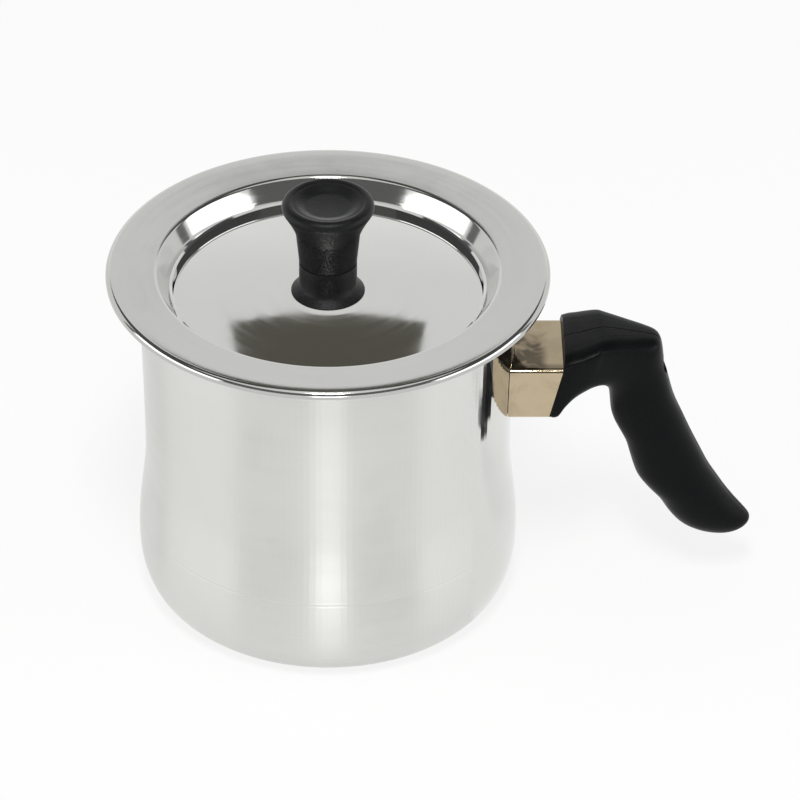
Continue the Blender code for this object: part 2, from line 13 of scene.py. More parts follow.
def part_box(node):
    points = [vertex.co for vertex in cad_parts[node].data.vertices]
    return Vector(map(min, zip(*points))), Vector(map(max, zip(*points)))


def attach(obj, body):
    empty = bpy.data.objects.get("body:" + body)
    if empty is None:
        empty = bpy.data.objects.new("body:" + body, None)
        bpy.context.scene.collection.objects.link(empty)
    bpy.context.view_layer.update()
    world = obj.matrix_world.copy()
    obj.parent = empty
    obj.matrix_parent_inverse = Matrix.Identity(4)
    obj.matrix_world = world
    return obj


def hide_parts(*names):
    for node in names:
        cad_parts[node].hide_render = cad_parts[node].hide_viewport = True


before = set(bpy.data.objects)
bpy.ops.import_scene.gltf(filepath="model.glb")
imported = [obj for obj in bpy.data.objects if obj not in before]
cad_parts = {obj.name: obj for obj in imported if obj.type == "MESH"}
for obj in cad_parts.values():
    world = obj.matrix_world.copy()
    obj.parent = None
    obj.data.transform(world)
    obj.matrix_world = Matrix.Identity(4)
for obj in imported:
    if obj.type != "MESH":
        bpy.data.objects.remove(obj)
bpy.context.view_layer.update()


# Camera: a long lens above the front of the pot, turned a little so that the pot stands left of
# the middle with its grip inside the picture.
rim_level = 0.161
sight_angle = math.radians(33.5)
sight_distance = 2.2
pixels_per_metre = 2342.1
picture_side = 800
rim_pixel = (328.05, 266.57)
sensor_width = 36.0
focal_pixels = pixels_per_metre * sight_distance
lens_data = bpy.data.cameras.new("studio_camera")
lens_data.sensor_width = sensor_width
lens_data.lens = focal_pixels * sensor_width / picture_side
lens_data.clip_end = 100.0
camera = bpy.data.objects.new("studio_camera", lens_data)
bpy.context.scene.collection.objects.link(camera)
sight = Vector((0.0, math.cos(sight_angle), -math.sin(sight_angle)))
camera.location = Vector((0.0, 0.0, rim_level)) - sight * sight_distance
turn = Vector((picture_side / 2 - rim_pixel[0], rim_pixel[1] - picture_side / 2, -focal_pixels))
camera.rotation_mode = "QUATERNION"
camera.rotation_quaternion = (Quaternion((1.0, 0.0, 0.0), math.pi / 2 - sight_angle)
                              @ Vector((0.0, 0.0, -1.0)).rotation_difference(turn))
bpy.context.scene.camera = camera
bpy.context.scene.view_settings.view_transform = "Standard"


# Studio: a white table in a white room, with a broad soft box on each side, a strip light above the
# front and a small low light. Pieces of wall that only mirrors see give the steel its dark and light
# forms. The jacket, the rim, the lid's wall and the knob are left out of every mirror image.
def node(tree, kind, inputs=(), **settings):
    """A shader node with its settings, whose inputs are values or other nodes' outputs."""
    made = tree.nodes.new("ShaderNode" + kind)
    for name, value in settings.items():
        setattr(made, name, value)
    for name, value in dict(inputs).items():
        if isinstance(value, bpy.types.NodeSocket):
            tree.links.new(value, made.inputs[name])
        else:
            made.inputs[name].default_value = value
    return made


def reckon(tree, operation, *values):
    """The result of a Math node on values or other nodes' outputs."""
    return node(tree, "Math", dict(enumerate(values)), operation=operation).outputs[0]


def shows_white(tree):
    """How much a ray sees the plain white: all of it for the camera, mirrors and glass."""
    path = node(tree, "LightPath").outputs
    seen = reckon(tree, "MAXIMUM", path["Is Camera Ray"], path["Is Glossy Ray"])
    return reckon(tree, "MAXIMUM", seen, path["Is Transmission Ray"])


room_light = 0.56
room = bpy.data.worlds.new("white_room")
bpy.context.scene.world = room
room.use_nodes = True
tree = room.node_tree
backdrop = tree.nodes["Background"]
strength = node(tree, "MapRange", {"Value": shows_white(tree), "To Min": room_light, "To Max": 1.0})
tree.links.new(strength.outputs["Result"], backdrop.inputs["Strength"])
backdrop.inputs["Color"].default_value = (1.0, 1.0, 1.0, 1.0)

table_side = 14.0
table_drop = 0.0004
table_shadow_share = 0.2
table_colour = (0.86, 0.86, 0.855, 1.0)
bpy.ops.object.select_all(action="DESELECT")
bpy.ops.mesh.primitive_plane_add(size=table_side, location=(0.0, 0.0, -table_drop))
table = bpy.context.object
table.name = "table"
table_finish = bpy.data.materials.new("table_paper")
table_finish.use_nodes = True
tree = table_finish.node_tree
paper = tree.nodes["Principled BSDF"]
paper.inputs["Base Color"].default_value = table_colour
paper.inputs["Roughness"].default_value = 0.9
paper.inputs["Specular IOR Level"].default_value = 0.1
share = reckon(tree, "MULTIPLY", shows_white(tree), 1.0 - table_shadow_share)
both = node(tree, "MixShader", {0: share, 1: paper.outputs["BSDF"],
                                2: node(tree, "Emission").outputs["Emission"]})
tree.links.new(both.outputs["Shader"], tree.nodes["Material Output"].inputs["Surface"])
table.data.materials.append(table_finish)


def soft_box(name, azimuth, elevation, distance, width, height, watts):
    """An area light that faces the pot. Azimuth is counted from the camera's side."""
    lamp = bpy.data.lights.new(name, "AREA")
    lamp.shape = "RECTANGLE"
    lamp.size = width
    lamp.size_y = height
    lamp.energy = watts
    box = bpy.data.objects.new(name, lamp)
    bpy.context.scene.collection.objects.link(box)
    around, above = math.radians(azimuth), math.radians(elevation)
    way = Vector((math.sin(around) * math.cos(above), -math.cos(around) * math.cos(above),
                  math.sin(above)))
    box.location = pot_middle + way * distance
    box.rotation_mode = "QUATERNION"
    box.rotation_quaternion = (-way).to_track_quat("-Z", "Y")
    box.visible_camera = False


pot_middle = Vector((0.0, 0.0, 0.1))
for name, azimuth in (("soft_box_left", -78.0), ("soft_box_right", 78.0)):
    soft_box(name, azimuth, elevation=16.5, distance=1.7, width=1.60, height=0.62, watts=6.5)
soft_box("strip_light", 0.0, elevation=62.0, distance=1.8, width=0.30, height=0.55, watts=16.0)
soft_box("front_light", 0.5, elevation=2.0, distance=1.7, width=0.48, height=0.30, watts=1.8)

wall_distance = 3.0
wall_step = 6


def mirrored_wall(name, azimuths, elevations, shade, distances=(wall_distance, wall_distance)):
    """A piece of a round wall that only mirrors see, from its foot's elevation to its head's.

    Angles are in degrees, seen from the middle of the rim. Azimuth 0 is the camera's side.
    """
    first, last = [math.radians(angle) for angle in azimuths]
    foot, head = [Vector((math.sin(first), -math.cos(first), math.tan(math.radians(angle)))) * distance
                  for angle, distance in zip(elevations, distances)]
    bpy.ops.object.select_all(action="DESELECT")
    bpy.ops.mesh.primitive_plane_add(size=1.0, location=(0.0, 0.0, 0.0))
    wall = bpy.context.object
    wall.name = wall.data.name = name
    bpy.ops.object.mode_set(mode="EDIT")
    bpy.ops.mesh.delete(type="ONLY_FACE")
    bpy.ops.object.mode_set(mode="OBJECT")
    # The plane's outline folds into one upright edge, which is spun round the pot.
    for vertex, place in zip(wall.data.vertices, (foot, head, head, foot)):
        vertex.co = place
    bpy.ops.object.mode_set(mode="EDIT")
    bpy.ops.mesh.select_all(action="SELECT")
    bpy.ops.mesh.remove_doubles(threshold=0.000001)
    bpy.ops.mesh.select_all(action="SELECT")
    bpy.ops.mesh.spin(steps=max(2, int((azimuths[1] - azimuths[0]) / wall_step)), angle=first - last,
                      center=(0.0, 0.0, 0.0), axis=(0.0, 0.0, 1.0))
    bpy.ops.object.mode_set(mode="OBJECT")
    wall.location = (0.0, 0.0, rim_level)
    bpy.ops.object.transform_apply(location=True, rotation=True, scale=True)
    wall.visible_camera = False
    wall.visible_diffuse = False
    wall.visible_shadow = False
    cloth = bpy.data.materials.new(name + "_cloth")
    cloth.use_nodes = True
    even = node(cloth.node_tree, "Emission", {"Color": (*shade, 1.0)})
    cloth.node_tree.links.new(even.outputs["Emission"],
                              cloth.node_tree.nodes["Material Output"].inputs["Surface"])
    wall.data.materials.append(cloth)


# Dark walls stand at the front and the sides, with a narrow grey strip below each side wall.
mirrored_wall("front_wall", (-54.0, 54.0), (12.0, 54.0), (0.17, 0.17, 0.17))
mirrored_wall("left_wall", (-158.0, -54.0), (30.0, 54.0), (0.11, 0.11, 0.115))
mirrored_wall("right_wall", (54.0, 158.0), (30.0, 54.0), (0.11, 0.11, 0.115))
mirrored_wall("left_gap", (-114.0, -106.0), (0.0, 30.0), (0.20, 0.20, 0.20))
mirrored_wall("right_gap", (106.0, 114.0), (0.0, 30.0), (0.20, 0.20, 0.20))

# A glow low at the back, which fades upwards, lights the rim. A dark ceiling hangs over it.
glow_azimuths = (150.0, 210.0)
glow_top = 25.0
mirrored_wall("back_glow", glow_azimuths, (6.0, glow_top), (1.13, 1.13, 1.12))
for k in range(6):
    fading = 1.11 - 0.02 * k
    mirrored_wall(f"back_glow_{k}", glow_azimuths, (glow_top + k, glow_top + k + 1.0), (fading,) * 3)
mirrored_wall("back_ceiling", (100.0, 260.0), (50.0, 76.0), (0.09, 0.09, 0.08), distances=(1.2, 1.2))

# The dark form in the front of the lid's floor: a band whose foot rises a little at both ends.
band_pieces = 8
band_start, band_piece = 171.6, 2.1
band_foot, band_rise, band_head = 36.3, 0.45, 60.0
for k in range(band_pieces):
    start = band_start + band_piece * k
    foot = band_foot + band_rise * (2 * k / (band_pieces - 1) - 1) ** 2
    mirrored_wall(f"back_band_{k}", (start, start + band_piece), (foot, band_head),
                  (0.125, 0.12, 0.10), distances=(0.85, 0.85))

# A dark ring stands in for the rim's underside in the mirror image on the duct's top.
mirrored_wall("rim_shade", (79.0, 126.0), (-2.1, -1.9), (0.12, 0.12, 0.11), distances=(0.080, 0.0948))


# Jacket: spun from polished stainless sheet, its collar turned out under the rim, with a slight
# waist, a belly and a flat base. The duct's port is cut in its +X side.
def arc(centre, radius, start, end, steps):
    """Places on an arc in (radius, height), angles in degrees."""
    turns = [math.radians(start + (end - start) * k / steps) for k in range(steps + 1)]
    return [(centre[0] + radius * math.cos(a), centre[1] + radius * math.sin(a)) for a in turns]


def ease(start, end, steps):
    """Places between two radii, upright at both ends."""
    swings = [(k / steps, (1 - math.cos(math.pi * k / steps)) / 2) for k in range(1, steps + 1)]
    return [(start[0] + (end[0] - start[0]) * swing, start[1] + (end[1] - start[1]) * share)
            for share, swing in swings]


def turned(name, outline, steps):
    """A skin turned about Z: a ring is drawn along places of (radius, height)."""
    bpy.ops.object.select_all(action="DESELECT")
    radius, height = outline[0]
    bpy.ops.mesh.primitive_circle_add(vertices=steps, radius=radius, location=(0.0, 0.0, height))
    skin = bpy.context.object
    skin.name = skin.data.name = name
    bpy.ops.object.mode_set(mode="EDIT")
    bpy.ops.mesh.select_all(action="SELECT")
    for next_radius, next_height in outline[1:]:
        bpy.ops.mesh.extrude_region_move(
            TRANSFORM_OT_translate={"value": (0.0, 0.0, next_height - height)})
        if next_radius > 0.0:
            share = next_radius / radius
            bpy.ops.transform.resize(value=(share, share, 1.0), center_override=(0.0, 0.0, 0.0))
        else:
            bpy.ops.mesh.merge(type="CENTER")
        radius, height = next_radius, next_height
    bpy.ops.mesh.select_all(action="SELECT")
    bpy.ops.mesh.remove_doubles(threshold=0.000001)
    bpy.ops.mesh.normals_make_consistent(inside=False)
    bpy.ops.object.mode_set(mode="OBJECT")
    bpy.ops.object.transform_apply(location=True, rotation=True, scale=True)
    return skin


def thicken(skin, thickness):
    """Give an open skin the thickness of its sheet, behind its faces."""
    wall = skin.modifiers.new("wall", "SOLIDIFY")
    wall.thickness = thickness
    wall.offset = -1.0
    wall.use_even_offset = True
    bpy.ops.object.modifier_apply(modifier=wall.name)


def sheet(skin, thickness, faces_up=False):
    """Thickness behind the drawn skin, whose level face nearest the axis looks up or down."""
    middle = max(skin.data.polygons, key=lambda face: abs(face.normal.z) - face.center.xy.length)
    if (middle.normal.z > 0.0) != faces_up:
        bpy.ops.object.mode_set(mode="EDIT")
        bpy.ops.mesh.select_all(action="SELECT")
        bpy.ops.mesh.flip_normals()
        bpy.ops.object.mode_set(mode="OBJECT")
    thicken(skin, thickness)


def smooth(piece):
    """Smooth shading on all that isn't sharp."""
    bpy.context.view_layer.objects.active = piece
    bpy.ops.object.shade_smooth_by_angle(angle=math.radians(32.0))


def block(name, low, high):
    """A box between two corners, which is shaped further."""
    bpy.ops.object.select_all(action="DESELECT")
    low, high = Vector(low), Vector(high)
    bpy.ops.mesh.primitive_cube_add(size=1.0, location=(low + high) / 2, scale=high - low)
    made = bpy.context.object
    made.name = made.data.name = name
    bpy.ops.object.transform_apply(location=True, rotation=True, scale=True)
    return made


def carve(piece, tool):
    """Cut a tool out of a piece, and remove the tool."""
    bpy.context.view_layer.objects.active = piece
    cutting = piece.modifiers.new("carve", "BOOLEAN")
    cutting.operation = "DIFFERENCE"
    cutting.solver = "EXACT"
    cutting.object = tool
    bpy.ops.object.modifier_apply(modifier=cutting.name)
    bpy.data.objects.remove(tool, do_unlink=True)


def ramp(tree, factor, low, high, low_value=0.0, high_value=1.0):
    """A smooth step of a mask between two levels."""
    return node(tree, "MapRange", {"Value": factor, "From Min": low, "From Max": high,
                                   "To Min": low_value, "To Max": high_value},
                interpolation_type="SMOOTHSTEP").outputs["Result"]


def effect(name, inputs, outputs):
    """An empty node group with named float inputs and outputs."""
    group = bpy.data.node_groups.new(name, "ShaderNodeTree")
    for label, value in inputs.items():
        socket = group.interface.new_socket(name=label, in_out="INPUT", socket_type="NodeSocketFloat")
        socket.default_value = value
    for label in outputs:
        group.interface.new_socket(name=label, in_out="OUTPUT", socket_type="NodeSocketFloat")
    return group, group.nodes.new("NodeGroupInput"), group.nodes.new("NodeGroupOutput")


def turning_grain():
    """What a lathe's polishing leaves, level round a wall and round on a flat: rings and hairlines."""
    group, given, made = effect("turning_grain", {"Fineness": 2200.0, "Wander": 16.0},
                                ("Height", "Bands", "Hairlines"))
    place = node(group, "TexCoord").outputs["Object"]
    flat = node(group, "VectorMath", {0: place, 1: (1.0, 1.0, 0.0)}, operation="MULTIPLY").outputs[0]
    radius = node(group, "VectorMath", {0: flat}, operation="LENGTH").outputs["Value"]
    parts = node(group, "SeparateXYZ", {"Vector": place}).outputs
    along = reckon(group, "ADD", radius, parts["Z"])

    def rings(wander, fineness, detail, roughness):
        """Noise that is drawn out round the axis and fine along the wall."""
        drawn = node(group, "CombineXYZ", {"X": reckon(group, "MULTIPLY", parts["X"], wander),
                                           "Y": reckon(group, "MULTIPLY", parts["Y"], wander),
                                           "Z": reckon(group, "MULTIPLY", along, fineness)})
        return node(group, "TexNoise", {"Vector": drawn.outputs[0], "Scale": 1.0, "Detail": detail,
                                        "Roughness": roughness}).outputs["Fac"]

    wander = given.outputs["Wander"]
    hairs = rings(42.0, 5200.0, 1.0, 0.5)
    group.links.new(ramp(group, hairs, 0.70, 0.78), made.inputs["Hairlines"])
    group.links.new(rings(wander, given.outputs["Fineness"], 4.0, 0.7), made.inputs["Height"])
    group.links.new(rings(wander, 260.0, 2.0, 0.5), made.inputs["Bands"])
    return group


def handling_marks():
    """Where hands and cloths left a thin film, as soft wiped patches."""
    group, given, made = effect("handling_marks", {"Size": 22.0}, ("Smudge",))
    place = node(group, "TexCoord").outputs["Object"]
    smear = node(group, "TexNoise", {"Vector": place, "Scale": given.outputs["Size"], "Detail": 5.0,
                                     "Roughness": 0.62, "Distortion": 0.6}).outputs["Fac"]
    group.links.new(ramp(group, smear, 0.42, 0.72), made.inputs["Smudge"])
    return group


grain_group = turning_grain()
marks_group = handling_marks()


def steel(name, colour, roughness, grain_depth, anisotropy=0.0, smudge=0.08, darkening=0.03):
    """Polished sheet: turning grain, faint bands, wiped smudges and fine hairlines.

    The roughness may be a number or a function that draws a mask of it in the material's nodes.
    """
    made = bpy.data.materials.new(name)
    made.use_nodes = True
    tree = made.node_tree
    shader = tree.nodes["Principled BSDF"]
    if callable(roughness):
        roughness = roughness(tree)
    grain = node(tree, "Group", node_tree=grain_group).outputs
    wiped = node(tree, "Group", node_tree=marks_group).outputs["Smudge"]
    bands = ramp(tree, grain["Bands"], 0.3, 0.7)
    rough = reckon(tree, "ADD", reckon(tree, "MULTIPLY", wiped, smudge),
                   reckon(tree, "MULTIPLY_ADD", bands, 0.03, roughness))
    tree.links.new(rough, shader.inputs["Roughness"])
    marked = reckon(tree, "MULTIPLY_ADD", grain["Hairlines"], 0.10,
                    reckon(tree, "MULTIPLY", wiped, darkening))
    shade = node(tree, "Mix", {"Factor": marked, "A": (*colour, 1.0),
                               "B": (*[c * 0.35 for c in colour], 1.0)}, data_type="RGBA")
    tree.links.new(shade.outputs["Result"], shader.inputs["Base Color"])
    bump = node(tree, "Bump", {"Height": grain["Height"], "Strength": 1.0, "Distance": grain_depth})
    tree.links.new(bump.outputs["Normal"], shader.inputs["Normal"])
    shader.inputs["Metallic"].default_value = 1.0
    shader.inputs["Anisotropic"].default_value = anisotropy
    shader.inputs["Anisotropic Rotation"].default_value = 0.25
    return made


def dress(piece, finish, body, slot, *nodes, mirrored=True):
    """A finish on a piece that rides on a body and stands for CAD nodes, seen in mirrors or not."""
    piece.visible_glossy = mirrored
    piece.data.materials.clear()
    piece.data.materials.append(finish)
    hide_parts(*nodes)
    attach(piece, body)


shoulder = 0.0807
waist = (0.0795, 0.073)
belly = (0.083, 0.028)
base_radius = 0.066
jacket_wall = 0.001
collar_level = 0.15814
collar_reach = 0.0857
collar_bend = 0.0015
corner_power = 2 / 2.4
seam_level = 0.0416
seam_half_width = 0.0005
seam_depth = 0.00004
port_low, port_high = (0.04, -0.01605, 0.0997), (0.0963, 0.01605, 0.1166)
buffed_from, buffed_to = 0.060, 0.066
brushed_roughness, buffed_roughness = 0.28, 0.018
round_steps = 192


def jacket_side(grow=0.0):
    """The jacket's outside from under its collar to its foot, grown by a clearance."""
    side = [(shoulder, collar_level - collar_bend)]
    side += ease(side[0], waist, 16)
    side += ease(side[-1], belly, 18)
    for k in range(1, 24):
        angle = math.radians(90 * k / 24)
        side.append((base_radius + (belly[0] - base_radius) * math.cos(angle) ** corner_power,
                     belly[1] * (1 - math.sin(angle) ** corner_power)))
    side.append((base_radius, 0.0))
    return [(radius + grow, height) for radius, height in side]


def with_seam(side):
    """A shallow line pressed round the belly, where the corner's forming began."""
    above = [place for place in side if place[1] > seam_level + seam_half_width]
    below = [place for place in side if place[1] < seam_level - seam_half_width]
    share = (above[-1][1] - seam_level) / (above[-1][1] - below[0][1])
    radius = above[-1][0] + (below[0][0] - above[-1][0]) * share
    line = [(radius, seam_level + seam_half_width), (radius - seam_depth, seam_level),
            (radius, seam_level - seam_half_width)]
    return above + line + below


collar = [(collar_reach, collar_level)]
collar += arc((shoulder + collar_bend, collar_level - collar_bend), collar_bend, 90, 180, 6)
jacket = turned("jacket", collar + with_seam(jacket_side())[1:] + [(0.0, 0.0)], round_steps)
sheet(jacket, jacket_wall)
carve(jacket, block("duct_port", port_low, port_high))
smooth(jacket)


def buffed_beside_duct(tree):
    """Roughness of the wall: brushed all round, and buffed to a mirror beside the duct."""
    parts = node(tree, "SeparateXYZ", {"Vector": node(tree, "TexCoord").outputs["Object"]}).outputs
    return ramp(tree, parts["X"], buffed_from, buffed_to, brushed_roughness, buffed_roughness)


jacket_finish = steel("brushed_jacket_steel", (0.69, 0.69, 0.667), buffed_beside_duct, 0.000003,
                      anisotropy=0.95, smudge=0.03)
dress(jacket, jacket_finish, "pot", "jacket_steel", "outer_shell", mirrored=False)


# Vessel: pressed stainless steel with a conical mouth for the lid, and a wide flat rim whose edge
# is turned down over the jacket's collar. It hangs in the jacket by that rim. The mouth with its
# rim and the cup below it are drawn apart, since mirrors show only the cup.
vessel_wall = 0.001
vessel_floor = 0.014
vessel_radius = 0.0679
vessel_corner = 0.018
cup_level = 0.145
mouth_radius = 0.0735
mouth_depth = 0.0105
mouth_bend = 0.0022
rim_radius = 0.095
rim_bend = 0.0024
rim_lip = 0.0031
rim_dish = 0.0009
mouth_slope = math.degrees(math.atan2(mouth_depth - rim_dish, mouth_radius - vessel_radius))
mouth_turn = mouth_radius + mouth_bend * math.tan(math.radians(mouth_slope / 2))


def flat_run(start, end, steps):
    """Evenly spaced places between two places of an outline."""
    return [tuple(a + (b - a) * k / steps for a, b in zip(start, end)) for k in range(1, steps)]


def pressed(name, outline, thickness):
    """A turned piece of sheet that is drawn on its upper side."""
    skin = turned(name, outline, round_steps)
    sheet(skin, thickness, faces_up=True)
    smooth(skin)
    return skin


side = [(rim_radius, rim_level - rim_lip)]
side += arc((rim_radius - rim_bend, rim_level - rim_bend), rim_bend, 0, 90, 10)
mouth_arc = arc((mouth_turn, rim_level - rim_dish - mouth_bend), mouth_bend, 90, 90 + mouth_slope, 10)
side += flat_run(side[-1], mouth_arc[0], 5) + mouth_arc
neck = (vessel_radius, rim_level - mouth_depth)
side += flat_run(side[-1], neck, 3) + [neck, (vessel_radius, cup_level)]
rim = pressed("vessel_rim", side, vessel_wall)
corner_arc = arc((vessel_radius - vessel_corner, vessel_floor + vessel_corner), vessel_corner,
                 0, -90, 14)
side = [side[-1]] + flat_run(side[-1], corner_arc[0], 5) + corner_arc + [(0.0, vessel_floor)]
cup = pressed("vessel_cup", side, vessel_wall)
vessel_finish = steel("polished_rim_steel", (0.525, 0.525, 0.51), 0.08, 0.000002, anisotropy=0.2,
                      smudge=0.03)
dress(rim, vessel_finish, "pot", "rim_steel", "inner_pot", mirrored=False)
dress(cup, vessel_finish, "pot", "rim_steel", "inner_pot")


# Duct: a box of bright steel, brazed to the jacket. Its inner end follows the jacket and its outer
# end leans with the grip. A plate, a threaded boss and a heat gasket close the outer end.
duct_width = 0.0405
duct_bottom, duct_top = 0.0955, 0.1208
duct_wall = 0.0012
duct_edge = 0.0025
duct_arris = 0.00015
duct_gap = 0.0003
duct_inner_end = 0.04
gasket_room = 0.0014
face_foot = Vector((0.0963, 0.0, 0.0952))
face_lean = 0.0072 / 0.0303
face_way = Vector((1.0, 0.0, -face_lean)).normalized()
duct_end = face_foot - Vector((gasket_room, 0.0, 0.0))


def select_edges(piece, wanted):
    """Select a mesh's edges whose two ends the test accepts, and enter edit mode."""
    bpy.context.view_layer.objects.active = piece
    mesh = piece.data
    for group in (mesh.vertices, mesh.edges, mesh.polygons):
        group.foreach_set("select", [False] * len(group))
    for edge in mesh.edges:
        ends = [mesh.vertices[k].co for k in edge.vertices]
        edge.select = wanted(*ends)
    bpy.ops.object.mode_set(mode="EDIT")
    bpy.ops.mesh.select_mode(type="EDGE")


def trim(piece, place, way):
    """Cut off what lies beyond a plane, and leave the cut open."""
    bpy.context.view_layer.objects.active = piece
    bpy.ops.object.mode_set(mode="EDIT")
    bpy.ops.mesh.select_all(action="SELECT")
    bpy.ops.mesh.bisect(plane_co=place, plane_no=way, clear_outer=True, use_fill=False)
    bpy.ops.object.mode_set(mode="OBJECT")


def close_holes():
    """Close the open ends of the active skin and turn its faces outwards."""
    bpy.ops.object.mode_set(mode="EDIT")
    bpy.ops.mesh.select_all(action="DESELECT")
    bpy.ops.mesh.select_mode(type="EDGE")
    bpy.ops.mesh.select_non_manifold()
    bpy.ops.mesh.edge_face_add()
    bpy.ops.mesh.select_all(action="SELECT")
    bpy.ops.mesh.normals_make_consistent(inside=False)
    bpy.ops.object.mode_set(mode="OBJECT")


def soften(piece, width, angle=40.0):
    """Small rounded edges where faces meet at more than the angle, and smooth shading."""
    bpy.context.view_layer.objects.active = piece
    edge = piece.modifiers.new("edge", "BEVEL")
    edge.width = width
    edge.segments = 2
    edge.limit_method = "ANGLE"
    edge.angle_limit = math.radians(angle)
    bpy.ops.object.modifier_apply(modifier=edge.name)
    smooth(piece)


# The box is drawn longer at both ends than it stays.
duct = block("filler_duct_box", (0.03, -duct_width / 2, duct_bottom), (0.12, duct_width / 2, duct_top))
select_edges(duct, lambda a, b: abs(a.x - b.x) > duct_width)
bpy.ops.mesh.bevel(offset=duct_edge, segments=10, affect="EDGES")
bpy.ops.object.mode_set(mode="OBJECT")
trim(duct, duct_end, face_way)
trim(duct, Vector((duct_inner_end, 0.0, 0.0)), Vector((-1.0, 0.0, 0.0)))
thicken(duct, duct_wall)
jacket_space = turned("jacket_space", [(shoulder + duct_gap, rim_level)] + jacket_side(duct_gap)
                      + [(0.0, 0.0)], 2 * round_steps)
close_holes()
carve(duct, jacket_space)
soften(duct, duct_arris)

# The duct's top is darker, with dark blotches near the rim's edge and towards the back painted as the
# reflection of the rim's underside, and darker towards its front edge. Each pair of places, along Z, X
# or Y, is where such a form fades.
top_edge_fade = (duct_top - 0.0006, duct_top - 0.0003)
painted_reflection_outer_fade = (0.0905, 0.0955)
painted_reflection_back_fade = (0.003, 0.011)
front_edge_fade = (-0.0170, -0.0135)


def tinted_steel(name, colour, tint, roughness):
    """Mirror steel with a warm heat tint that wanders over it, and wiped smudges.

    Its top is darker, with dark blotches painted as the reflection of the rim's underside.
    """
    made = bpy.data.materials.new(name)
    made.use_nodes = True
    tree = made.node_tree
    shader = tree.nodes["Principled BSDF"]
    place = node(tree, "TexCoord").outputs["Object"]
    parts = node(tree, "SeparateXYZ", {"Vector": place}).outputs
    cloud = node(tree, "TexNoise", {"Vector": place, "Scale": 70.0, "Detail": 3.0,
                                    "Roughness": 0.55, "Distortion": 0.4}).outputs["Fac"]
    shade = node(tree, "Mix", {"Factor": ramp(tree, cloud, 0.35, 0.68), "A": (*colour, 1.0),
                               "B": (*tint, 1.0)}, data_type="RGBA")
    wander = node(tree, "TexNoise", {"Vector": place, "Scale": 85.0, "Detail": 2.0,
                                     "Roughness": 0.5, "Distortion": 0.7}).outputs["Fac"]
    # Painted reflection: the blotches stand for the rim's underside as the top would mirror it.
    clear = reckon(tree, "MAXIMUM", ramp(tree, parts["X"], *painted_reflection_outer_fade),
                   ramp(tree, parts["Y"], *painted_reflection_back_fade))
    top_darkening_and_painted_reflection = node(tree, "Mix", {"Factor": clear, "A": ramp(tree, wander, 0.46, 0.66, 0.20, 0.60),
                              "B": 0.73}).outputs["Result"]
    top_darkening_and_painted_reflection = reckon(tree, "MULTIPLY", top_darkening_and_painted_reflection, ramp(tree, parts["Y"], *front_edge_fade, 0.50, 1.0))
    level = node(tree, "Mix", {"Factor": ramp(tree, parts["Z"], *top_edge_fade), "A": 1.0,
                               "B": top_darkening_and_painted_reflection}).outputs["Result"]
    toned = node(tree, "VectorMath", {0: shade.outputs["Result"], "Scale": level}, operation="SCALE")
    tree.links.new(toned.outputs[0], shader.inputs["Base Color"])
    wiped = node(tree, "Group", {"Size": 90.0}, node_tree=marks_group).outputs["Smudge"]
    tree.links.new(reckon(tree, "MULTIPLY_ADD", wiped, 0.06, roughness), shader.inputs["Roughness"])
    wave = node(tree, "TexNoise", {"Vector": place, "Scale": 130.0, "Detail": 1.0}).outputs["Fac"]
    bump = node(tree, "Bump", {"Height": wave, "Strength": 1.0, "Distance": 0.00003})
    tree.links.new(bump.outputs["Normal"], shader.inputs["Normal"])
    shader.inputs["Metallic"].default_value = 1.0
    return made


duct_finish = tinted_steel("warm_duct_steel", (0.51, 0.42, 0.285), (0.43, 0.35, 0.235), 0.05)
dress(duct, duct_finish, "pot", "duct_steel", "filler_duct")


def redress(node_name, finish, mirrored=True):
    """A detailed finish on a CAD piece whose shape is right, seen in mirrors or not."""
    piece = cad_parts[node_name]
    piece.visible_glossy = mirrored
    for slot in piece.material_slots:
        slot.material = finish


plain_finish = steel("plain_cut_steel", (0.45, 0.45, 0.46), 0.32, 0.000006, smudge=0.12)
redress("duct_end_plate", plain_finish)
redress("duct_boss", plain_finish)


